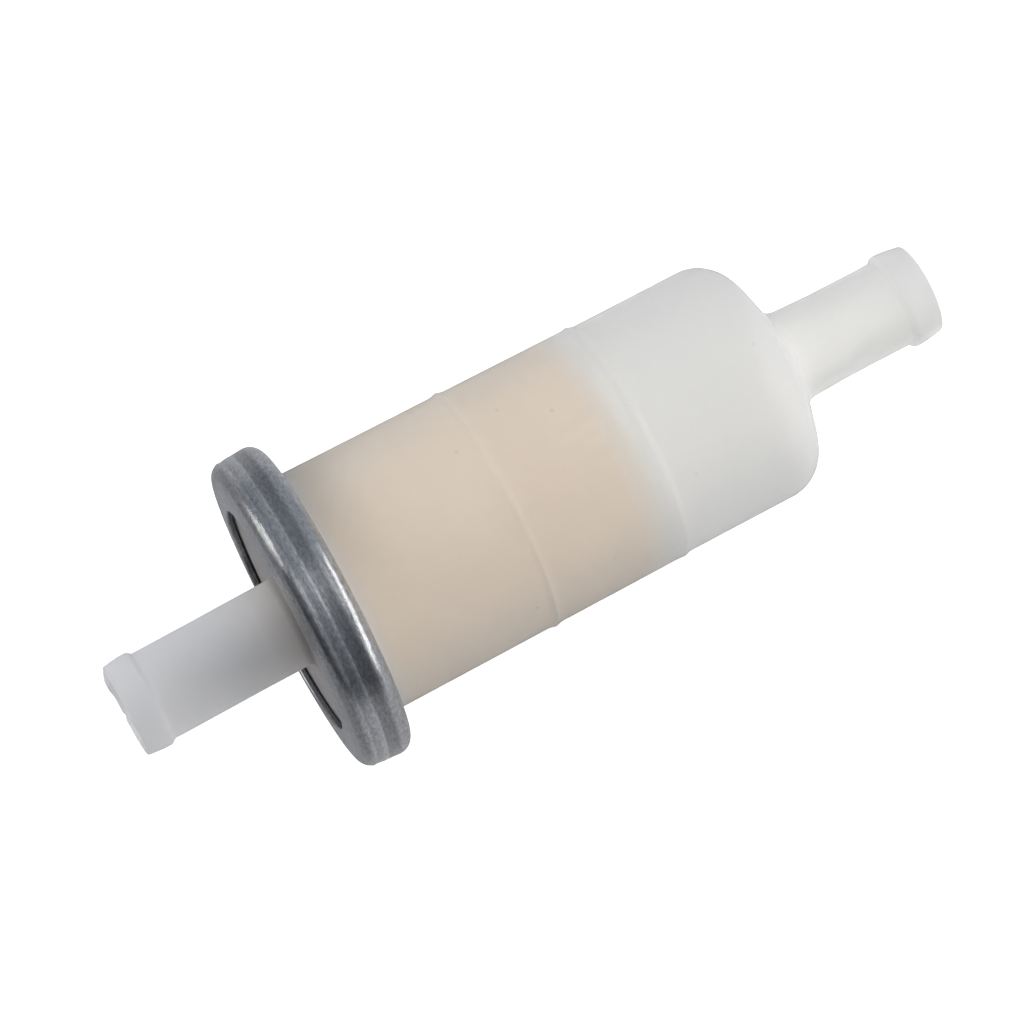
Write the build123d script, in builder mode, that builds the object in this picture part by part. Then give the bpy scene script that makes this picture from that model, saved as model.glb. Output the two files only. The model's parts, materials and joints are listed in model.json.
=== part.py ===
"""In-line fuel filter: a moulded nylon housing and end cap, closed by a rolled steel ring, with
a pleated paper element inside.

The filter's axis is X and its origin is the middle of the overall length. The outlet barb, on the end cap,
points to -X, and the inlet barb, on the housing, points to +X. Fuel fills the housing, passes inwards
through the paper to the core, and leaves through the end cap. Every part is round about X, so most of them
are one outline revolved about it.
"""

from build123d import *
import math
import os

# Driving dimensions, in millimetres
overall_length = 96.8
bore_radius = 3.6  # the fuel passage through both spigots
bore_chamfer = 0.2

# Hose barbs: each tapers out from its tip to a short land at the crest, and drops back to the neck
barb_land_length = 1.0
barb_back_length = 0.4
tip_round = 0.4
outlet_neck_radius = 5.0
outlet_crest_radius = 5.4
outlet_tip_radius = 5.2
outlet_taper_length = 2.25
inlet_neck_radius = 4.9
inlet_crest_radius = 5.4
inlet_tip_radius = 5.1
inlet_taper_length = 2.45

# Crimp ring: sheet steel, with a coned front lip and a rolled rear lip
ring_front_x = -28.95
ring_rear_x = -22.9
ring_thickness = 0.6
ring_front_radius = 17.8
ring_rear_radius = 18.2
ring_corner = 1.6
front_lip_hole_radius = 12.85
front_lip_cone = 0.3  # how far the lip falls back from its hole to the corner
rear_lip_hole_radius = 14.3

# The two flanges that the ring clamps, and the seal between them
flange_radius = 17.2
flange_edge = 1.05
parting_x = -25.85
seal_centre_radius = 15.1
seal_width = 1.7
seal_height = 1.2
seal_groove_width = 1.9

# Housing
wall = 1.4
body_root_radius = 13.85
body_step_radius = 13.62  # just before the second witness line
body_end_radius = 13.47
bowl_mouth_radius = 12.45
bowl_end_radius = 12.1
body_root_height = 0.4  # the slope from the flange down to the body, under the ring's lip
body_root_length = 1.0
witness_line_x = (-3.65, 12.05)
witness_line_width = 1.2
witness_line_height = 0.17
shoulder_centre_x = 25.4
shoulder_radius = 4.6
end_face_lean = 19  # degrees by which the end face slopes out to the spigot
spigot_fillet = 1.8
inlet_root_radius = 5.05  # the spigot drafts from this, at its fillet, to the neck's radius
inlet_draft_end_x = 36.9
funnel_radius = 5.0  # where the bore opens into the bowl
inlet_bore_start_x = 31.2

# End cap
cap_root_fillet = 0.4
cap_boss_radius = 5.5
cap_boss_bore_radius = 3.9
cap_boss_end_x = -22.85
cap_boss_chamfer = 0.4

# Filter element
pleat_count = 36
paper_thickness = 0.4
pleat_tip_radius = 11.9
pleat_root_radius = 6.85
disc_radius = 12.0
open_disc_thickness = 1.2
open_disc_bore = 5.7
closed_disc_thickness = 1.2
closed_disc_x = 10.95  # the face that the potting lies on
closed_disc_boss_radius = 4.5
closed_disc_boss_height = 0.5
potting_thickness = 1.0
paper_embedding = 0.6  # how deep the ends of the pleats stand in the potting
core_radius = 6.3
core_wall = 0.6
core_hole_radius = 1.25
core_hole_rows = 9
core_hole_columns = 6
seam_inner_radius = 8.2
seam_clearance = 0.01
element_seal_groove_radius = 4.7
element_seal_width = 1.1

# Places worked out from the driving dimensions
outlet_tip_x = -overall_length / 2
inlet_tip_x = overall_length / 2
flange_rear_x = ring_rear_x - ring_thickness
lip_slope = front_lip_cone / (ring_front_radius - ring_thickness - front_lip_hole_radius)
lip_contact_radius = flange_radius - flange_edge  # where the coned lip bears on the cap's face
cap_face_x = ring_front_x + ring_thickness + lip_slope * (lip_contact_radius - front_lip_hole_radius)
open_disc_face_x = parting_x + open_disc_thickness
open_potting_x = open_disc_face_x + potting_thickness
closed_potting_x = closed_disc_x - potting_thickness
paper_start_x = open_potting_x - paper_embedding
paper_end_x = closed_potting_x + paper_embedding
element_seal_x = (parting_x + open_disc_face_x) / 2


def barb_points(tip_x, outwards, taper_length, neck_radius, crest_radius, tip_radius):
    """The outside of a barb from its neck to its bore, as (x, radius); outwards is +1 or -1 along X."""
    crest_x = tip_x - outwards * taper_length
    land_x = crest_x - outwards * barb_land_length
    neck_x = land_x - outwards * barb_back_length
    return [
        (neck_x, neck_radius),
        (land_x, crest_radius),
        (crest_x, crest_radius),
        (tip_x - outwards * tip_round, tip_radius),
        (tip_x, tip_radius - tip_round),
        (tip_x, bore_radius + bore_chamfer),
        (tip_x - outwards * bore_chamfer, bore_radius),
    ]


def body_radius(x):
    """The housing's outside radius at x, which narrows towards the shoulder for draft."""
    if x <= witness_line_x[1]:
        share = (x - flange_rear_x) / (witness_line_x[1] - flange_rear_x)
        return body_root_radius + (body_step_radius - body_root_radius) * share
    return body_end_radius


def spigot_fillet_centre(face_start):
    """The middle of the fillet between the spigot and the leaning end face that starts at face_start."""
    lean = math.radians(end_face_lean)
    radius = inlet_root_radius + spigot_fillet
    rise = radius - face_start.Y
    return (face_start.X + (spigot_fillet - rise * math.sin(lean)) / math.cos(lean), radius)


def ring_section():
    """Sheet steel bent over both flanges, drawn square and then rounded at its four bends."""
    front_corner_x = ring_front_x + front_lip_cone
    inner_front_radius = ring_front_radius - ring_thickness
    inner_rear_radius = ring_rear_radius - ring_thickness
    with BuildSketch() as section:
        with BuildLine():
            Polyline(
                (ring_front_x, front_lip_hole_radius),
                (front_corner_x, ring_front_radius),
                (ring_rear_x, ring_rear_radius),
                (ring_rear_x, rear_lip_hole_radius),
                (flange_rear_x, rear_lip_hole_radius),
                (flange_rear_x, inner_rear_radius),
                (front_corner_x + ring_thickness, inner_front_radius),
                (ring_front_x + ring_thickness, front_lip_hole_radius),
                close=True,
            )
        make_face()
        by_radius = section.vertices().sort_by(Axis.Y)
        fillet(by_radius[-2:], ring_corner)
        fillet(by_radius[-4:-2], ring_corner - ring_thickness)
    return section.sketch


with BuildPart() as crimp_ring:
    add(ring_section())
    revolve(axis=Axis.X)
crimp_ring.part.label = "crimp_ring"


# Housing: flange, drafted bowl with two raised witness lines, round shoulder and inlet spigot
with BuildPart() as housing:
    with BuildSketch():
        with BuildLine():
            line_ends = []
            for line_x in witness_line_x:
                before = line_x - witness_line_width / 2
                after = line_x + witness_line_width / 2
                start = (before, body_radius(before))
                crest = (line_x, body_radius(line_x) + witness_line_height)
                end = (after, body_radius(after))
                ThreePointArc(start, crest, end)
                line_ends += [start, end]
            root_start = (flange_rear_x, body_root_radius + body_root_height)
            root_end_x = flange_rear_x + body_root_length
            Polyline(root_start, (root_end_x, body_radius(root_end_x)), line_ends[0])
            Polyline(line_ends[1], line_ends[2])
            shoulder_centre = (shoulder_centre_x, body_end_radius - shoulder_radius)
            shoulder = CenterArc(shoulder_centre, shoulder_radius, 90, end_face_lean - 90)
            Polyline(line_ends[3], shoulder @ 0)
            root_centre = spigot_fillet_centre(shoulder @ 1)
            root = CenterArc(root_centre, spigot_fillet, 180 + end_face_lean, 90 - end_face_lean)
            Line(shoulder @ 1, root @ 0)
            barb_radii = (inlet_neck_radius, inlet_crest_radius, inlet_tip_radius)
            barb = barb_points(inlet_tip_x, 1, inlet_taper_length, *barb_radii)
            bowl_shoulder = shoulder_radius - wall
            bowl_centre = (shoulder_centre_x, bowl_end_radius - bowl_shoulder)
            bowl_round = CenterArc(bowl_centre, bowl_shoulder, 90, end_face_lean - 90)
            bowl_floor = bowl_round @ 1
            funnel_x = bowl_floor.X + (bowl_floor.Y - funnel_radius) * math.tan(math.radians(end_face_lean))
            Polyline(
                root @ 1,
                (inlet_draft_end_x, inlet_neck_radius),
                *barb,
                (inlet_bore_start_x, bore_radius),
                (funnel_x, funnel_radius),
                bowl_floor,
            )
            Polyline(
                bowl_round @ 0,
                (parting_x, bowl_mouth_radius),
                (parting_x, flange_radius),
                (flange_rear_x - flange_edge, flange_radius),
                (flange_rear_x, flange_radius - flange_edge),
                root_start,
            )
        make_face()
    revolve(axis=Axis.X)
    with BuildSketch():
        with Locations((parting_x + seal_height / 2, seal_centre_radius)):
            Rectangle(seal_height, seal_groove_width)
    revolve(axis=Axis.X, mode=Mode.SUBTRACT)
housing.part.label = "housing"


# End cap: flange, outlet spigot, and a grooved boss that the element is pushed on to
with BuildPart() as end_cap:
    with BuildSketch():
        with BuildLine():
            root_start = (cap_face_x, outlet_neck_radius + cap_root_fillet)
            root_end = (cap_face_x - cap_root_fillet, outlet_neck_radius)
            barb_radii = (outlet_neck_radius, outlet_crest_radius, outlet_tip_radius)
            barb = barb_points(outlet_tip_x, -1, outlet_taper_length, *barb_radii)
            RadiusArc(root_start, root_end, -cap_root_fillet)
            Polyline(
                root_end,
                *barb,
                (cap_face_x, bore_radius),
                (cap_face_x + cap_boss_bore_radius - bore_radius, cap_boss_bore_radius),
                (cap_boss_end_x, cap_boss_bore_radius),
                (cap_boss_end_x, cap_boss_radius - cap_boss_chamfer),
                (cap_boss_end_x - cap_boss_chamfer, cap_boss_radius),
                (parting_x, cap_boss_radius),
                (parting_x, flange_radius),
                (cap_face_x + flange_edge, flange_radius),
                (cap_face_x, flange_radius - flange_edge),
                root_start,
            )
        make_face()
        with Locations((element_seal_x, element_seal_groove_radius)):
            Rectangle(
                element_seal_width,
                cap_boss_radius - element_seal_groove_radius,
                align=(Align.CENTER, Align.MIN),
                mode=Mode.SUBTRACT,
            )
    revolve(axis=Axis.X)
end_cap.part.label = "end_cap"


# Flange seal: a rubber ring squashed to the depth of its groove
with BuildPart() as flange_seal:
    with BuildSketch():
        with Locations((parting_x + seal_height / 2, seal_centre_radius)):
            SlotOverall(seal_width, seal_height, rotation=90)
    revolve(axis=Axis.X)
flange_seal.part.label = "flange_seal"


# Element seal: a smaller ring in the boss's groove, squashed by the bore of the open disc
with BuildPart() as element_seal:
    seal_section = open_disc_bore - element_seal_groove_radius
    with BuildSketch():
        with Locations((element_seal_x, element_seal_groove_radius + seal_section / 2)):
            SlotOverall(element_seal_width, seal_section)
    revolve(axis=Axis.X)
element_seal.part.label = "element_seal"


def pleat_centreline():
    """The middle of the paper as a closed star in the YZ plane, as alternate crests and roots."""
    crest = pleat_tip_radius - paper_thickness / 2
    root = pleat_root_radius + paper_thickness / 2
    points = []
    for step in range(2 * pleat_count):
        radius = root if step % 2 else crest
        angle = math.pi * step / pleat_count
        points.append((radius * math.cos(angle), radius * math.sin(angle)))
    return points


# Filter paper: one strip of constant thickness, folded into a closed star
with BuildPart() as filter_paper:
    with BuildSketch(Plane.YZ.offset(paper_start_x)) as star:
        with BuildLine():
            Polyline(*pleat_centreline(), close=True)
        make_face()
        middle = star.faces()
        offset(middle, amount=paper_thickness / 2, kind=Kind.ARC)
        offset(middle, amount=-paper_thickness / 2, kind=Kind.ARC, mode=Mode.SUBTRACT)
    extrude(amount=paper_end_x - paper_start_x)
filter_paper.part.label = "filter_paper"


# Paper seam: the glue that closes the strip into a star, filling the narrow end of one pleat from inside
with BuildPart() as paper_seam:
    crest = pleat_tip_radius - paper_thickness / 2
    root = pleat_root_radius + paper_thickness / 2
    half_pitch = math.pi / pleat_count
    flank = (crest - root * math.cos(half_pitch), root * math.sin(half_pitch))
    flank_slope = flank[1] / flank[0]
    half_paper = (paper_thickness / 2 + seam_clearance) * math.hypot(*flank) / flank[0]
    seam_outer_radius = crest - half_paper / flank_slope
    seam_half_width = (crest - seam_inner_radius) * flank_slope - half_paper
    with BuildSketch(Plane.YZ.offset(open_potting_x)):
        with BuildLine():
            Polyline(
                (seam_outer_radius, 0),
                (seam_inner_radius, seam_half_width),
                (seam_inner_radius, -seam_half_width),
                close=True,
            )
        make_face()
    extrude(amount=closed_potting_x - open_potting_x)
paper_seam.part.label = "paper_seam"


# Element core: a perforated tube that holds the pleats up against the pressure of the fuel
with BuildPart() as element_core:
    core_length = closed_disc_x - open_disc_face_x
    core_middle_x = (closed_disc_x + open_disc_face_x) / 2
    with Locations((core_middle_x, 0, 0)):
        Cylinder(core_radius, core_length, rotation=(0, 90, 0))
        Cylinder(core_radius - core_wall, core_length, rotation=(0, 90, 0), mode=Mode.SUBTRACT)
    row_pitch = core_length / core_hole_rows
    for row in range(core_hole_rows):
        turn = 180 / core_hole_columns * (row % 2)
        row_x = open_disc_face_x + row_pitch * (row + 0.5)
        for column in range(core_hole_columns // 2):
            angle = turn + 360 / core_hole_columns * column
            with Locations(Location((row_x, 0, 0), (angle, 0, 0))):
                Cylinder(core_hole_radius, 3 * core_radius, mode=Mode.SUBTRACT)
element_core.part.label = "element_core"


# End discs: the open one rides on the end cap's boss, and the closed one ends the core
with BuildPart() as open_end_disc:
    with BuildSketch(Plane.YZ.offset(parting_x)):
        Circle(disc_radius)
        Circle(open_disc_bore, mode=Mode.SUBTRACT)
    extrude(amount=open_disc_thickness)
open_end_disc.part.label = "open_end_disc"

with BuildPart() as closed_end_disc:
    with BuildSketch(Plane.YZ.offset(closed_disc_x)):
        Circle(disc_radius)
    extrude(amount=closed_disc_thickness)
    chamfer(closed_end_disc.faces().sort_by(Axis.X)[-1].edges(), closed_disc_thickness / 3)
    with BuildSketch(Plane.YZ.offset(closed_disc_x + closed_disc_thickness)):
        Circle(closed_disc_boss_radius)
    extrude(amount=closed_disc_boss_height)
closed_end_disc.part.label = "closed_end_disc"


# Potting: the glue that the pleats' ends stand in, one layer on each disc
def potting(low_x):
    """A layer of glue from the core to the disc's rim, with the slot that the paper fills."""
    with BuildPart() as layer:
        with BuildSketch(Plane.YZ.offset(low_x)):
            Circle(disc_radius)
            Circle(core_radius, mode=Mode.SUBTRACT)
        extrude(amount=potting_thickness)
        add(filter_paper.part, mode=Mode.SUBTRACT)
    return layer


open_end_potting = potting(open_disc_face_x)
open_end_potting.part.label = "open_end_potting"
closed_end_potting = potting(closed_potting_x)
closed_end_potting.part.label = "closed_end_potting"


pieces = [
    housing,
    end_cap,
    crimp_ring,
    flange_seal,
    element_seal,
    filter_paper,
    paper_seam,
    element_core,
    open_end_disc,
    closed_end_disc,
    open_end_potting,
    closed_end_potting,
]
os.makedirs("parts", exist_ok=True)
for piece in pieces:
    export_step(piece.part, f"parts/{piece.part.label}.step")
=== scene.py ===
"""The look of the in-line fuel filter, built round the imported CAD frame.

Blender works in metres, and outlines here are in millimetres, as (x, radius) along the filter's axis,
which is X. The three outer pieces and the paper are turned or folded again in finer meshes with the marks
of their making. The other pieces inside keep their CAD meshes, and each gets a material of its own.
"""

import json
import math

import bmesh
import bpy
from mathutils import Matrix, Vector, noise


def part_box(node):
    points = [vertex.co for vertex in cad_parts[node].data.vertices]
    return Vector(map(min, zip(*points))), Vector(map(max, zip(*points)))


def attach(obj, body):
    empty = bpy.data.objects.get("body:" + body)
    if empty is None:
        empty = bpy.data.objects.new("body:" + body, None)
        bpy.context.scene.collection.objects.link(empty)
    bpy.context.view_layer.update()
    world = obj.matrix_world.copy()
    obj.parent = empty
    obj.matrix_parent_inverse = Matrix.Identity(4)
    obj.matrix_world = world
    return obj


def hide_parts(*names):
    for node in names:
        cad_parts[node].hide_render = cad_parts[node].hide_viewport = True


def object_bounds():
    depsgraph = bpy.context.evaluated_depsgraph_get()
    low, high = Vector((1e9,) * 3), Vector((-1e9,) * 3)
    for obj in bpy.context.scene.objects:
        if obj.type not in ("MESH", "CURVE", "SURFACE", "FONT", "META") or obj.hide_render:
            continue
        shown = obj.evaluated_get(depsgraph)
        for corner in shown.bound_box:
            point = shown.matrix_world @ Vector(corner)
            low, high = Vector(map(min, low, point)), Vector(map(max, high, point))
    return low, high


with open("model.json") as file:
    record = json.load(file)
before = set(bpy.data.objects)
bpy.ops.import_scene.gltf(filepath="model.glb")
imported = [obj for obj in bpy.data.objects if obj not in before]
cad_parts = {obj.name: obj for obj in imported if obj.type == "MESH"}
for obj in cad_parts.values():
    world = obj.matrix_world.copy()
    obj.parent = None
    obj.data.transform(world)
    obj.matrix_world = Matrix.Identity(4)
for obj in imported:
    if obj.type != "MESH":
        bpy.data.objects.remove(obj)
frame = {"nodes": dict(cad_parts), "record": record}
cad_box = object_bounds()
nodes = frame["nodes"]
mounts = {m["name"]: m for m in frame["record"]["mounts"]}
MM = 0.001
TURN = 2 * math.pi


# ------------------------------------------------ places and sizes, in millimetres, from the frame
def span(node):
    """A CAD node's lowest and highest x."""
    low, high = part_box(node)
    return low.x / MM, high.x / MM


def radius(node):
    """A round CAD node's outer radius."""
    low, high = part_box(node)
    return (high.z - low.z) / 2 / MM


def mount(name):
    """A round mount's first and last x, and its radius."""
    middle = mounts[name]["pos_m"][0] / MM
    half = mounts[name]["dims"]["length_mm"] / 2
    return middle - half, middle + half, mounts[name]["dims"]["r_mm"]


parting, inlet_tip = span("housing")
outlet_tip, boss_end = span("end_cap")
ring_front, ring_rear = span("crimp_ring")
paper_start, paper_end = span("filter_paper")
flange_radius = radius("housing")
ring_radius = radius("crimp_ring")
inlet_land_start, inlet_land_end, inlet_crest = mount("inlet_barb")
outlet_land_start, outlet_land_end, outlet_crest = mount("outlet_barb")
funnel_end, _, bore = mount("inlet_passage")
_, cap_face, _ = mount("outlet_passage")
plain_start, shoulder_x, end_radius = mount("bracket_band")

# Sizes that the frame doesn't name, for the housing and its flange
ring_steel = 0.6
flange_rear = ring_rear - ring_steel
flange_chamfer = 1.05
root_radius = 13.85
root_height = 0.4
root_length = 1.0
step_radius = 13.62
wall = 1.4
bowl_mouth = 12.45
bowl_end = 12.1
shoulder = 4.6
lean = 19
spigot_fillet = 1.8
funnel_radius = 5.0
inlet_root = 5.05
inlet_neck = 4.9
inlet_tip_radius = 5.1
draft_end = 36.9
bead_gap = 15.7
last_bead = plain_start - 0.6
beads = (last_bead - bead_gap, last_bead)
bead_height = 0.15
bead_spread = 0.46
crease_height = 0.03
crease_spread = 0.14

# The cap
outlet_neck = 5.0
outlet_tip_radius = 5.2
cap_fillet = 0.4
boss_radius = 5.5
boss_bore = 3.9
bore_step = 0.3
boss_chamfer = 0.4
groove_radius = 4.7
root_offset = 0.38
tip_offset = 0.72
lean_y, lean_z = -0.965, -0.264

# The barbs, and what moulding and trimming leave. Past bore + skin, a spigot's point is on its outside.
barb_back = 0.4
tip_round = 0.45
bore_round = 0.2
swell = 0.02
skin = 0.6
trimmed = 0.6

# The ring. Each ding is (x, angle in degrees, depth).
ring_hole = 12.85
ring_rear_hole = 14.3
ring_corner = 1.6
lip_round = 0.22
lip_cone = 0.25
front_bend_radius = 16.27
bend_tighter = 0.2
front_line = (ring_front + 1.45, 17.845)
rear_line = (parting - 0.38, 17.97)
line_foot, line_top = 0.22, 0.07
line_height, line_dip = 0.009, 0.006
barrel_margin = 0.01
barrel_radius = 17
lobe = 0.012
ding_length, ding_width = 0.35, 0.45
dings = ((-25.3, 74, 0.06), (-24.6, 100, 0.05), (-27.1, 190, 0.05), (-25.0, 290, 0.06),
         (-26.6, 20, 0.04))

# The paper
pleats = 36
paper_root = 6.85
paper_thickness = 0.4


# ---------------------------------------------------------------- outlines
def arc(centre, r, start, end, count=10):
    """Points on an arc about centre, from start to end in degrees (0 is +x, 90 is outwards)."""
    points = []
    for i in range(count + 1):
        a = math.radians(start + (end - start) * i / count)
        points.append((centre[0] + r * math.cos(a), centre[1] + r * math.sin(a)))
    return points


def hump(away, spread):
    """1 where away is 0, falling smoothly to nothing at about twice the spread."""
    return math.exp(-((away / spread) ** 2))


def divide(points, step):
    """The closed outline with its long runs cut into pieces up to step long, so that they can be shaped."""
    out = []
    for (x0, r0), (x1, r1) in zip(points, points[1:] + points[:1]):
        pieces = max(1, math.ceil(math.hypot(x1 - x0, r1 - r0) / step))
        out += [(x0 + (x1 - x0) * i / pieces, r0 + (r1 - r0) * i / pieces) for i in range(pieces)]
    return out


def barb(tip, way, land_end, land_start, neck, crest, tip_radius):
    """The outside of a barb from its neck to its bore, with soft edges; way is +1 or -1 along x."""
    wear_and_painted_reflection = 0.01
    after_land = 0.6
    back = ((-1.5, 0), (-1.15, 0.04), (-0.85, 0.18), (-0.5, 0.5), (-0.15, 0.8), (0.2, 0.95), (0.6, 1))
    rise = crest - neck
    points = [(land_start + way * along * barb_back, neck + rise * height) for along, height in back]
    points += [((land_start + land_end) / 2, crest), (land_end, crest - wear_and_painted_reflection)]
    taper = (crest - tip_radius) / abs(tip - land_end)
    points.append((land_end + way * after_land, crest - wear_and_painted_reflection - taper * after_land))
    outer, inner = ((90, 0), (0, -90)) if way > 0 else ((90, 180), (180, 270))
    points += arc((tip - way * tip_round, tip_radius - tip_round), tip_round, *outer, 6)
    points += arc((tip - way * bore_round, bore + bore_round), bore_round, *inner, 4)
    return points


def body_radius(x):
    """The housing's outside radius: drafted from its flange, with two raised beads and a plain end."""
    half_blend = 0.6
    share = min(1, max(0, (x - flange_rear) / (last_bead - flange_rear)))
    blend = min(1, max(0, (x - last_bead + half_blend) / (2 * half_blend)))
    r = root_radius + (step_radius - root_radius) * share
    r += (end_radius - r) * blend * blend * (3 - 2 * blend)
    for b in beads:
        r += bead_height * hump(x - b, bead_spread) + crease_height * hump(x - b, crease_spread)
    return r


def body_points():
    """The outside of the bowl from its root to its shoulder, closely spaced over the beads."""
    bead_reach, fine, coarse = 1.3, 0.08, 0.5
    xs = [flange_rear + root_length + 0.2]
    while xs[-1] < shoulder_x - 0.05:
        near_bead = min(abs(xs[-1] - b) for b in beads) < bead_reach
        xs.append(min(xs[-1] + (fine if near_bead else coarse), shoulder_x))
    return [(x, body_radius(x)) for x in xs]


def housing_outline():
    """A bowl with a bevelled root at its flange, a rounded and coned end, and the inlet spigot."""
    out = [(flange_rear, root_radius + root_height), (ring_rear + 0.1, root_radius + root_height)]
    out.append((flange_rear + root_length, root_radius + 0.1))
    out += body_points()
    face = arc((shoulder_x, end_radius - shoulder), shoulder, 90, lean, 28)[1:]
    out += face
    sine, cosine = math.sin(math.radians(lean)), math.cos(math.radians(lean))
    centre_r = inlet_root + spigot_fillet
    rise = centre_r - face[-1][1]
    centre = (face[-1][0] + (spigot_fillet - rise * sine) / cosine, centre_r)
    out += arc(centre, spigot_fillet, 180 + lean, 270, 12)
    out.append((draft_end, inlet_neck))
    out += barb(inlet_tip, 1, inlet_land_end, inlet_land_start, inlet_neck, inlet_crest, inlet_tip_radius)
    inner = shoulder - wall
    floor = arc((shoulder_x, bowl_end - inner), inner, lean, 90, 16)
    funnel_start = floor[0][0] + (floor[0][1] - funnel_radius) * sine / cosine
    out += [(funnel_end, bore), (funnel_start, funnel_radius)]
    out += floor
    out += [(parting, bowl_mouth), (parting, flange_radius), (flange_rear - flange_chamfer, flange_radius)]
    out.append((flange_rear, flange_radius - flange_chamfer))
    return out


def cap_outline():
    """A flange with the outlet spigot on its face, and behind it the boss with the seal's groove."""
    out = arc((cap_face - cap_fillet, outlet_neck + cap_fillet), cap_fillet, 0, -90, 6)
    land = (outlet_land_start, outlet_land_end)
    out += barb(outlet_tip, -1, *land, outlet_neck, outlet_crest, outlet_tip_radius)
    out += [(cap_face, bore), (cap_face + bore_step, boss_bore), (boss_end, boss_bore)]
    out += [(boss_end, boss_radius - boss_chamfer), (boss_end - boss_chamfer, boss_radius)]
    low, high = span("element_seal")
    out += [(high, boss_radius), (high, groove_radius), (low, groove_radius), (low, boss_radius)]
    out += [(parting, boss_radius), (parting, flange_radius), (cap_face + flange_chamfer, flange_radius)]
    out.append((cap_face, flange_radius - flange_chamfer))
    return out


def ring_outline():
    """Rolled sheet: a coned front lip, a barrel with two faint raised lines, and a rear lip."""
    inner = ring_corner - ring_steel
    front_bend = (ring_front + lip_cone + ring_corner, front_bend_radius)
    outer_bend = (front_bend[0] - bend_tighter, front_bend[1] + bend_tighter)
    rear_bend = (ring_rear - ring_corner, ring_radius - barrel_margin - ring_corner)
    out = arc((ring_front + lip_round, ring_hole + lip_round), lip_round, 270, 180, 4)
    out += arc(outer_bend, ring_corner - bend_tighter, 176, 96, 14)
    for x, r in (front_line, rear_line):
        out += [(x - line_foot, r - line_dip), (x - line_top, r + line_height)]
        out += [(x + line_top, r + line_height), (x + line_foot, r)]
    out += arc(rear_bend, ring_corner, 92, 0, 16)
    out += arc((ring_rear - bore_round, ring_rear_hole + bore_round), bore_round, 0, -90, 4)
    out.append((flange_rear, ring_rear_hole))
    out += arc((flange_rear - inner, ring_radius - ring_corner), inner, 0, 92, 8)
    out += arc(front_bend, inner, 96, 176, 8)
    out.append((ring_front + ring_steel, ring_hole))
    return out


def fold():
    """The paper's middle line, a closed star of rounded folds: (y, z) points with their outward normals."""
    half_turn = math.pi / pleats
    outer, inner = radius("filter_paper") - paper_thickness / 2, paper_root + paper_thickness / 2
    clearance = 0.05
    gap = paper_thickness / 2 + clearance
    crest_bend, root_bend = 0.3, 0.2
    shortest = 0.01
    line = []
    for pleat in range(pleats):
        middle = 2 * half_turn * pleat
        leg = []
        for i in range(6):
            a = math.radians(90 * i / 5)
            side = half_turn * outer - gap - crest_bend * (1 - math.sin(a))
            leg.append((outer - crest_bend * (1 - math.cos(a)), side))
        for i in range(1, 5):
            r = outer - crest_bend + (inner + root_bend - outer + crest_bend) * i / 5
            leg.append((r, half_turn * r - gap))
        for i in range(4):
            a = math.radians(90 * i / 3)
            leg.append((inner + root_bend * (1 - math.sin(a)), half_turn * inner - gap * math.cos(a)))
        line += [(r, middle - side / r) for r, side in reversed(leg)]
        line += [(r, middle + side / r) for r, side in leg]
    points = [Vector((r * math.cos(a), r * math.sin(a))) for r, a in line]
    kept = [p for p, q in zip(points, points[1:] + points[:1]) if (p - q).length > shortest]
    out = []
    for i, p in enumerate(kept):
        way = (kept[(i + 1) % len(kept)] - kept[i - 1]).normalized()
        out.append((p, Vector((way.y, -way.x))))
    return out


# ---------------------------------------------------------------- meshes
def add_piece(name, verts, faces, node, slot, look, sharp=35):
    """A smooth-shaded piece that stands for a CAD node and rides on the part's one body.

    Edges that turn by more than sharp degrees stay crisp.
    """
    mesh = bpy.data.meshes.new(name)
    mesh.from_pydata(verts, [], faces)
    bm = bmesh.new()
    bm.from_mesh(mesh)
    bmesh.ops.recalc_face_normals(bm, faces=bm.faces)
    for edge in bm.edges:
        edge.smooth = len(edge.link_faces) != 2 or edge.calc_face_angle() < math.radians(sharp)
    for face in bm.faces:
        face.smooth = True
    bm.to_mesh(mesh)
    bm.free()
    mesh.materials.append(look)
    piece = bpy.data.objects.new(name, mesh)
    bpy.context.scene.collection.objects.link(piece)
    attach(piece, "root")
    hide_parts(node)
    return piece


def lathe(outline, segments, shape, aside=None):
    """Verts and faces of a closed outline turned about the x axis.

    shape moves each (x, radius, angle), and aside gives how far a point is carried off the axis in y and z.
    """
    verts, faces = [], []
    n = len(outline)
    for i in range(segments):
        angle = TURN * i / segments
        for x, r in outline:
            y, z = aside(x, r) if aside else (0, 0)
            x, r = shape(x, r, angle)
            verts.append((x * MM, (y + r * math.cos(angle)) * MM, (z + r * math.sin(angle)) * MM))
        j = (i + 1) % segments
        for k in range(n):
            m = (k + 1) % n
            faces.append((i * n + k, i * n + m, j * n + m, j * n + k))
    return verts, faces


def folded_paper():
    """Verts and faces of the pleated paper, as two skins joined at its ends."""
    line = fold()
    sections = 24
    verts, faces = [], []
    n = len(line)
    for i in range(sections + 1):
        x = paper_start + (paper_end - paper_start) * i / sections
        for side in (1, -1):
            for p, normal in line:
                q = p + normal * side * paper_thickness / 2
                verts.append((x * MM, q.x * MM, q.y * MM))
    for i in range(sections):
        for k in range(n):
            m = (k + 1) % n
            a, b = 2 * n * i, 2 * n * (i + 1)
            faces.append((a + k, a + m, b + m, b + k))
            faces.append((a + n + k, b + n + k, b + n + m, a + n + m))
    for a in (0, 2 * n * sections):
        faces += [(a + k, a + (k + 1) % n, a + n + (k + 1) % n, a + n + k) for k in range(n)]
    return verts, faces


def wobble(x, angle, around, along, seed):
    """Smooth noise over a round surface, from -1 to 1, with about `around` swells in a turn."""
    r = around / TURN
    return noise.noise(Vector((r * math.cos(angle) + seed, r * math.sin(angle), x * along)))


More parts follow.
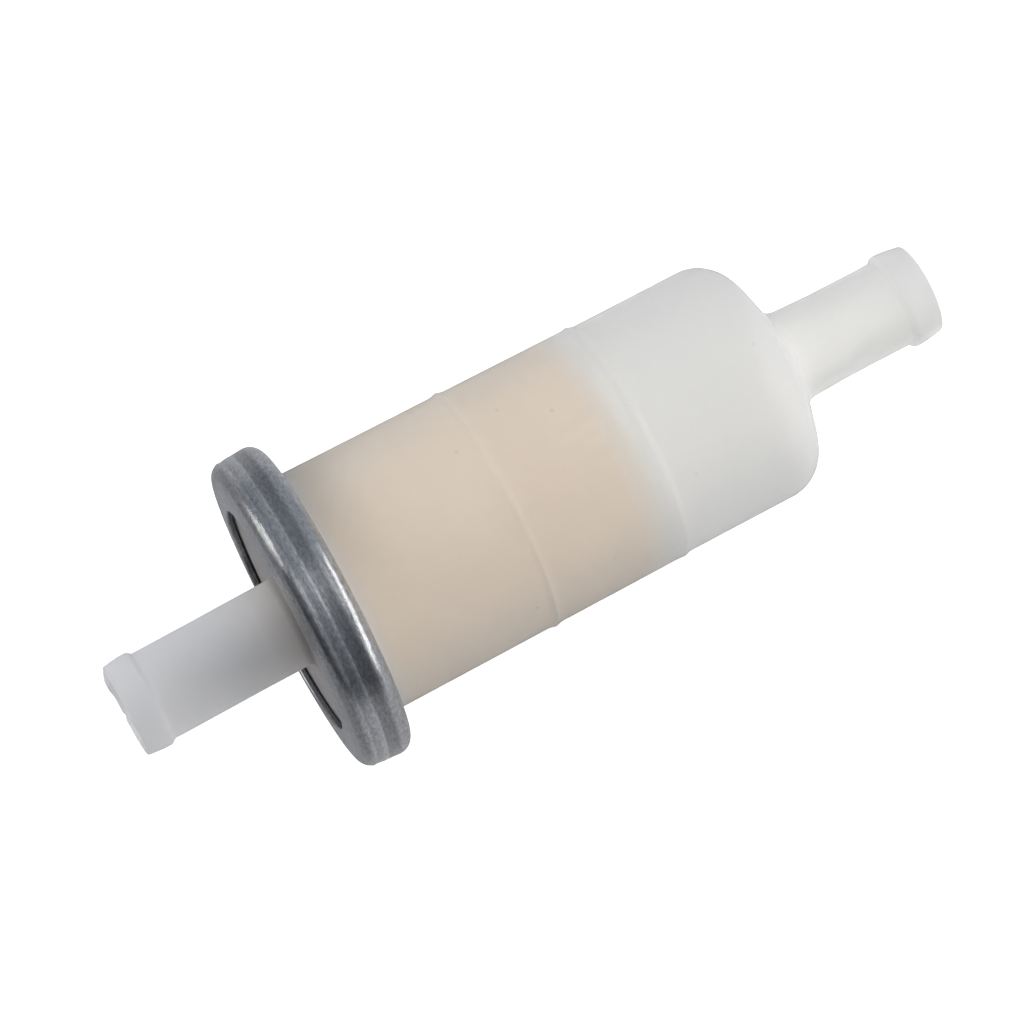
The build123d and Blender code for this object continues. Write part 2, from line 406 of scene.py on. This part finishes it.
def near(angle, middle, width):
    """A hump round the middle angle. The middle and the width are in degrees."""
    return hump(math.remainder(angle - math.radians(middle), TURN), math.radians(width))


def shape_housing(x, r, angle):
    """Moulding flow leaves faint swells, and the beads are cut unevenly."""
    if r > bowl_mouth + 0.5 and x > flange_rear + root_length:
        for b in beads:
            bead = bead_height * hump(x - b, bead_spread)
            r += bead * (0.35 * wobble(x, angle, 9, 0.05, b) + 0.2 * wobble(x, angle, 60, 0.8, b))
        r += swell * wobble(x, angle, 5, 0.06, 3.0)
    elif x > draft_end and r > bore + skin:
        r += swell * wobble(x, angle, 6, 0.25, 8.0)
    if x > inlet_tip - 0.4:
        x += 0.05 * wobble(0, angle, 7, 0, 5.0) - 0.05
    return x, r


def shape_cap(x, r, angle):
    """The outlet's tip is trimmed by hand, which leaves a burr and a nick. The spigot has faint swells."""
    if x < cap_face - 1 and r > bore + skin:
        r += swell * wobble(x, angle, 6, 0.25, 11.0)
    if x < outlet_tip + trimmed:
        burr, nick = 0.3 * near(angle, -26, 17), 0.15 * near(angle, -79, 4)
        trim = 0.3 + 0.06 * wobble(0, angle, 11, 0, 22.0) - burr + nick
        x += max(0, trim) * (outlet_tip + trimmed - x) / trimmed
    return x, r


def spigot_lean(x, r):
    """The outlet spigot stands a little off the axis, and leans a little more towards its tip."""
    if x > cap_face or r > boss_radius + 0.5:
        return 0, 0
    off = root_offset + (tip_offset - root_offset) * (cap_face - x) / (cap_face - outlet_tip)
    return lean_y * off, lean_z * off


def shape_ring(x, r, angle):
    """Rolling leaves the barrel very slightly lobed, and handling has left a few dings."""
    if r > barrel_radius:
        r += lobe * wobble(x, angle, 14, 0.2, 31.0) - lobe
        for ding_x, ding_angle, depth in dings:
            aside = r * math.remainder(angle - math.radians(ding_angle), TURN)
            r -= depth * hump(x - ding_x, ding_length) * hump(aside, ding_width)
    return x, r


# ---------------------------------------------------------------- materials
NOISE_LOW, NOISE_HIGH = 0.3, 0.7


class Look:
    """A material and a short way to add nodes to it."""

    def __init__(self, name):
        self.material = bpy.data.materials.new(name)
        self.material.use_nodes = True
        self.tree = self.material.node_tree
        self.principled = self.tree.nodes["Principled BSDF"]
        self.place = self.add("ShaderNodeTexCoord").outputs["Object"]

    def add(self, kind, **settings):
        node = self.tree.nodes.new(kind)
        for key, value in settings.items():
            setattr(node, key, value)
        return node

    def link(self, a, b):
        self.tree.links.new(a, b)

    def set(self, **values):
        for key, value in values.items():
            self.principled.inputs[key.replace("_", " ")].default_value = value

    def noise(self, scale, detail=3.0, stretch=(1, 1, 1), rough=0.5):
        """Noise with features about 1/scale metres across, longer where stretch is under 1."""
        mapping = self.add("ShaderNodeMapping")
        mapping.inputs["Scale"].default_value = stretch
        self.link(self.place, mapping.inputs["Vector"])
        texture = self.add("ShaderNodeTexNoise")
        texture.inputs["Scale"].default_value = scale
        texture.inputs["Detail"].default_value = detail
        texture.inputs["Roughness"].default_value = rough
        self.link(mapping.outputs["Vector"], texture.inputs["Vector"])
        return texture.outputs["Fac"]

    def ramp(self, source, stops):
        """Colours by value: stops are (place, colour)."""
        node = self.add("ShaderNodeValToRGB")
        elements = node.color_ramp.elements
        while len(elements) < len(stops):
            elements.new(0.5)
        for element, (at, colour) in zip(elements, stops):
            element.position = at
            element.color = (*colour, 1)
        self.link(source, node.inputs["Fac"])
        return node.outputs["Color"]

    def along_x(self, low, high):
        """How far along the axis, 0 at low and 1 at high, in millimetres."""
        apart = self.add("ShaderNodeSeparateXYZ")
        self.link(self.place, apart.inputs["Vector"])
        share = self.add("ShaderNodeMapRange")
        share.inputs["From Min"].default_value = low * MM
        share.inputs["From Max"].default_value = high * MM
        self.link(apart.outputs["X"], share.inputs["Value"])
        return share.outputs["Result"]

    def times(self, a, b):
        """One colour multiplied by another. A Mix node's colours go in at 6 and 7 and come out at 2."""
        node = self.add("ShaderNodeMix", data_type="RGBA", blend_type="MULTIPLY")
        node.inputs["Factor"].default_value = 1.0
        self.link(a, node.inputs[6])
        self.link(b, node.inputs[7])
        return node.outputs[2]

    def colour(self, source, low, high):
        """Base colour from low to high, over the middle part of a noise's range."""
        stops = [(NOISE_LOW, low), (NOISE_HIGH, high)]
        self.link(self.ramp(source, stops), self.principled.inputs["Base Color"])

    def roughness(self, source, low, high):
        """Roughness from low to high, over the middle part of a noise's range."""
        node = self.add("ShaderNodeMapRange")
        node.inputs["From Min"].default_value = NOISE_LOW
        node.inputs["From Max"].default_value = NOISE_HIGH
        node.inputs["To Min"].default_value = low
        node.inputs["To Max"].default_value = high
        self.link(source, node.inputs["Value"])
        self.link(node.outputs["Result"], self.principled.inputs["Roughness"])

    def bump(self, source, distance):
        """Height from source, in metres over its whole range. A second call adds to the first."""
        node = self.add("ShaderNodeBump")
        node.inputs["Strength"].default_value = 1.0
        node.inputs["Distance"].default_value = distance
        normal = self.principled.inputs["Normal"]
        if normal.is_linked:
            self.link(normal.links[0].from_socket, node.inputs["Normal"])
        self.link(source, node.inputs["Height"])
        self.link(node.outputs["Normal"], normal)


def nylon(name, shades, clear, lets_light):
    """Milky moulded nylon: part of the light scatters in its skin and part goes through, blurred.

    shades are (x in millimetres, colour) along the axis. clear is the share of light that goes through, and
    lets_light the share that reaches what is behind without a shadow. Odd darker specks are moulded in.
    """
    look = Look(name)
    look.set(Roughness=0.62, IOR=1.5, Transmission_Weight=clear)
    look.set(Subsurface_Weight=0.8, Subsurface_Radius=(1.0, 1.0, 1.0), Subsurface_Scale=0.003)
    low, high = shades[0][0], shades[-1][0]
    shade = look.ramp(look.along_x(low, high), [((x - low) / (high - low), c) for x, c in shades])
    cloud = look.ramp(look.noise(110, 4), [(NOISE_LOW, (0.96, 0.96, 0.955)), (NOISE_HIGH, (1, 1, 1))])
    dots = look.add("ShaderNodeTexVoronoi")
    dots.inputs["Scale"].default_value = 210
    look.link(look.place, dots.inputs["Vector"])
    dot = look.ramp(dots.outputs["Distance"], [(0.02, (0.87, 0.84, 0.8)), (0.065, (1, 1, 1))])
    colour = look.times(look.times(shade, cloud), dot)
    look.link(colour, look.principled.inputs["Base Color"])
    look.bump(look.noise(900, 3), 0.00001)
    look.bump(look.noise(160, 2), 0.00004)
    path = look.add("ShaderNodeLightPath")
    share = look.add("ShaderNodeMath", operation="MULTIPLY")
    share.inputs[1].default_value = lets_light
    look.link(path.outputs["Is Shadow Ray"], share.inputs[0])
    passing = look.add("ShaderNodeBsdfTransparent")
    mix = look.add("ShaderNodeMixShader")
    look.link(share.outputs["Value"], mix.inputs["Fac"])
    look.link(look.principled.outputs["BSDF"], mix.inputs[1])
    look.link(passing.outputs["BSDF"], mix.inputs[2])
    look.link(mix.outputs["Shader"], look.tree.nodes["Material Output"].inputs["Surface"])
    return look.material


def zinc_steel(name):
    """Zinc-plated strip: dull and grainy, with drawn lines round the barrel and painted reflection bands
    across its width.
    """
    look = Look(name)
    look.set(Metallic=1.0)
    grain = look.noise(4200, 3, (1.0, 0.4, 0.4), 0.7)
    tone = look.ramp(grain, [(NOISE_LOW, (0.345, 0.35, 0.355)), (NOISE_HIGH, (0.655, 0.66, 0.665))])
    # Painted reflections across the strip, brighter and darker bands where its corners and raised lines
    # catch or miss the light: (millimetres from its front, brightness)
    bands = ((0, 1.0), (0.3, 0.65), (0.85, 0.66), (1.25, 1.15), (1.5, 1.3), (1.75, 0.95), (2.2, 1.15))
    bands += ((2.8, 1.4), (3.0, 0.82), (4.1, 0.7), (4.6, 1.25), (6.05, 1.25))
    brightest = max(b for _, b in bands)
    width = ring_rear - ring_front
    stops = [(at / width, (b / brightest, b / brightest, b / brightest)) for at, b in bands]
    # Painted reflections: the bands scale the metal's colour along the axis
    wear_and_painted_reflection = look.ramp(look.along_x(ring_front, ring_rear), stops)
    look.link(look.times(tone, wear_and_painted_reflection), look.principled.inputs["Base Color"])
    look.roughness(look.noise(900, 4, (1.6, 0.4, 0.4), 0.6), 0.24, 0.33)
    look.bump(grain, 0.00002)
    look.bump(look.noise(1400, 2, (6.0, 0.12, 0.12)), 0.00001)
    return look.material


def solid(name, low, high, scale, rough, bump):
    """A plain opaque material with a little variation in colour, roughness and surface."""
    vary = 0.06
    look = Look(name)
    texture = look.noise(scale, 4)
    look.colour(texture, low, high)
    look.roughness(texture, rough - vary, rough + vary)
    look.bump(look.noise(scale * 5, 3), bump)
    return look.material


def fibre_paper(name):
    """Resin-cured filter paper: short fibres in two tones, matt all over."""
    look = Look(name)
    fibres = look.noise(3200, 5, (1.0, 0.4, 1.0), 0.7)
    look.colour(fibres, (0.88, 0.775, 0.64), (0.94, 0.85, 0.73))
    look.set(Roughness=0.95)
    look.bump(fibres, 0.00002)
    return look.material


# The housing's colours: tan over the paper and milky beyond it, with painted highlights on the beads and
# painted light beside the ring, where the ring and flange shade it
tan, milk = (0.968, 0.893, 0.803), (0.975, 0.965, 0.93)
white, painted_light_cream = (1, 0.98, 0.95), (1, 0.915, 0.81)
half_bead_highlight = 0.16
# Painted light: white, then cream, brighten the nylon beside the ring, where the ring and flange leave it
# in shade
housing_shades = [(flange_rear + 0.8, white), (flange_rear + 2.5, painted_light_cream), (flange_rear + 9, tan)]
# Painted highlights: a thin white stripe along each bead
housing_shades += [(beads[0] - half_bead_highlight, tan), (beads[0], white), (beads[0] + half_bead_highlight, tan)]
housing_shades += [(paper_end - 3.2, tan), (paper_end, milk)]
housing_shades += [(beads[1] - half_bead_highlight, milk), (beads[1], white), (beads[1] + half_bead_highlight, milk)]
housing_shades.append((inlet_tip, milk))
housing_look = nylon("housing_nylon", housing_shades, clear=0.56, lets_light=0.97)

# The cap's colours: pale on the spigot, then painted shade darkening it towards its flange and face, where
# the ring shades it
pale, faint_painted_shade = (0.995, 0.972, 0.935), (0.985, 0.945, 0.905)
grey, deep_painted_shade = (0.82, 0.78, 0.74), (0.38, 0.36, 0.35)
# Painted shade: the colour darkens through grey to its darkest at the cap face
cap_shades = [(cap_face - 8, pale), (cap_face - 4, faint_painted_shade), (cap_face - 1, grey), (cap_face, deep_painted_shade)]
cap_look = nylon("cap_nylon", cap_shades, clear=0.12, lets_light=1.0)
steel_look = zinc_steel("zinc_steel")
paper_look = fibre_paper("filter_paper")
rubber = (0.02, 0.02, 0.021), (0.04, 0.04, 0.04)
dark_rubber = (0.012, 0.012, 0.013), (0.03, 0.03, 0.03)
seam_glue = (0.62, 0.52, 0.34), (0.78, 0.70, 0.50)
core_grey = (0.74, 0.74, 0.72), (0.84, 0.84, 0.82)
disc_white = (0.90, 0.89, 0.86), (0.95, 0.94, 0.91)
potting_cream = (0.88, 0.82, 0.72), (0.95, 0.91, 0.83)
inside = {
    "flange_seal": solid("flange_seal_rubber", *rubber, scale=900, rough=0.5, bump=0.00001),
    "element_seal": solid("element_seal_rubber", *dark_rubber, scale=900, rough=0.5, bump=0.00001),
    "paper_seam": solid("seam_glue", *seam_glue, scale=700, rough=0.45, bump=0.00004),
    "element_core": solid("core_plastic", *core_grey, scale=300, rough=0.5, bump=0.00001),
    "open_end_disc": solid("open_disc_plastic", *disc_white, scale=260, rough=0.5, bump=0.00001),
    "closed_end_disc": solid("closed_disc_plastic", *disc_white, scale=260, rough=0.5, bump=0.00001),
    "open_end_potting": solid("open_potting_glue", *potting_cream, scale=400, rough=0.4, bump=0.00005),
    "closed_end_potting": solid("closed_potting_glue", *potting_cream, scale=400, rough=0.4, bump=0.00005),
}
for name, look in inside.items():
    mesh = nodes[name].data
    for i in range(len(mesh.materials)):
        mesh.materials[i] = look

# ---------------------------------------------------------------- the pieces
housing_mesh = lathe(divide(housing_outline(), 0.7), 256, shape_housing)
add_piece("housing_shell", *housing_mesh, "housing", "housing_nylon", housing_look)
cap_mesh = lathe(divide(cap_outline(), 0.6), 320, shape_cap, spigot_lean)
add_piece("cap_shell", *cap_mesh, "end_cap", "cap_nylon", cap_look)
ring_mesh = lathe(divide(ring_outline(), 0.5), 384, shape_ring)
add_piece("rolled_ring", *ring_mesh, "crimp_ring", "zinc_steel", steel_look)
add_piece("folded_paper", *folded_paper(), "filter_paper", "filter_paper", paper_look, sharp=60)


# ---------------------------------------------------------------- floor, light and camera
def make_floor():
    """A floor that glows white to the camera, and is clear from below so that the underside can be seen."""
    half = 3.0
    low = cad_box[0].z
    corners = [(-half, -half, low), (half, -half, low), (half, half, low), (-half, half, low)]
    mesh = bpy.data.meshes.new("floor")
    mesh.from_pydata(corners, [], [(0, 1, 2, 3)])
    floor = bpy.data.objects.new("floor", mesh)
    bpy.context.scene.collection.objects.link(floor)
    look = Look("floor_white")
    look.colour(look.noise(3, 2), (0.88, 0.88, 0.88), (0.90, 0.90, 0.90))
    look.set(Roughness=0.9, Emission_Color=(1, 1, 1, 1))
    path = look.add("ShaderNodeLightPath")
    look.link(path.outputs["Is Camera Ray"], look.principled.inputs["Emission Strength"])
    clear = look.add("ShaderNodeBsdfTransparent")
    mix = look.add("ShaderNodeMixShader")
    look.link(look.add("ShaderNodeNewGeometry").outputs["Backfacing"], mix.inputs["Fac"])
    look.link(look.principled.outputs["BSDF"], mix.inputs[1])
    look.link(clear.outputs["BSDF"], mix.inputs[2])
    look.link(mix.outputs["Shader"], look.tree.nodes["Material Output"].inputs["Surface"])
    mesh.materials.append(look.material)


def softbox(name, place, size, power, colour=(1, 1, 1), roll=0):
    """A rectangular light that faces the origin. place and size are in metres, power in watts."""
    light = bpy.data.lights.new(name, "AREA")
    light.shape = "RECTANGLE"
    light.size, light.size_y = size
    light.energy = power
    light.color = colour
    lamp = bpy.data.objects.new(name, light)
    bpy.context.scene.collection.objects.link(lamp)
    lamp.location = place
    lamp.rotation_euler = (-Vector(place)).to_track_quat("-Z", "Y").to_euler()
    lamp.rotation_euler.rotate_axis("Z", math.radians(roll))


make_floor()
softbox("right_box", (0.485, -0.26, 0.31), (0.92, 0.28), 2.0, (1.0, 0.975, 0.95), 18)
softbox("left_box", (-0.46, 0.35, 0.22), (0.30, 0.46), 1.1, (1.0, 0.985, 0.97))
softbox("top_box", (0.09, -0.12, 0.66), (0.25, 0.50), 0.25)

# The studio round the part is a cool pale grey that brightens upwards, backwards and to the right
world = bpy.data.worlds.new("studio")
world.use_nodes = True
tree = world.node_tree
tree.nodes["Background"].inputs["Color"].default_value = (0.885, 0.95, 1.08, 1)
tilt = tree.nodes.new("ShaderNodeVectorMath")
tilt.operation = "DOT_PRODUCT"
tilt.inputs[1].default_value = (0.12, 0.135, 0.15)
level = tree.nodes.new("ShaderNodeMath")
level.operation = "ADD"
level.inputs[1].default_value = 0.25
tree.links.new(tree.nodes.new("ShaderNodeTexCoord").outputs["Generated"], tilt.inputs[0])
tree.links.new(tilt.outputs["Value"], level.inputs[0])
tree.links.new(level.outputs["Value"], tree.nodes["Background"].inputs["Strength"])
bpy.context.scene.world = world

# The camera looks down from the front left, at a point a little off the part's middle
distance = 0.480
azimuth, elevation = math.radians(-28.73), math.radians(72.7)
flat = math.cos(elevation)
back = Vector((math.sin(azimuth) * flat, -math.cos(azimuth) * flat, math.sin(elevation)))
right = Vector((math.cos(azimuth), math.sin(azimuth), 0))
up = back.cross(right)
camera_data = bpy.data.cameras.new("camera")
camera_data.lens = 159.5
camera_data.sensor_width = 36
camera_data.clip_start = 0.01
camera = bpy.data.objects.new("camera", camera_data)
bpy.context.scene.collection.objects.link(camera)
aim = Vector((-2.155, 0, 0)) * MM + (0.4615 * right - 0.8815 * up) * MM
camera.location = aim + back * distance
camera.rotation_euler = back.to_track_quat("Z", "Y").to_euler()
bpy.context.scene.camera = camera
bpy.context.scene.view_settings.view_transform = "Standard"
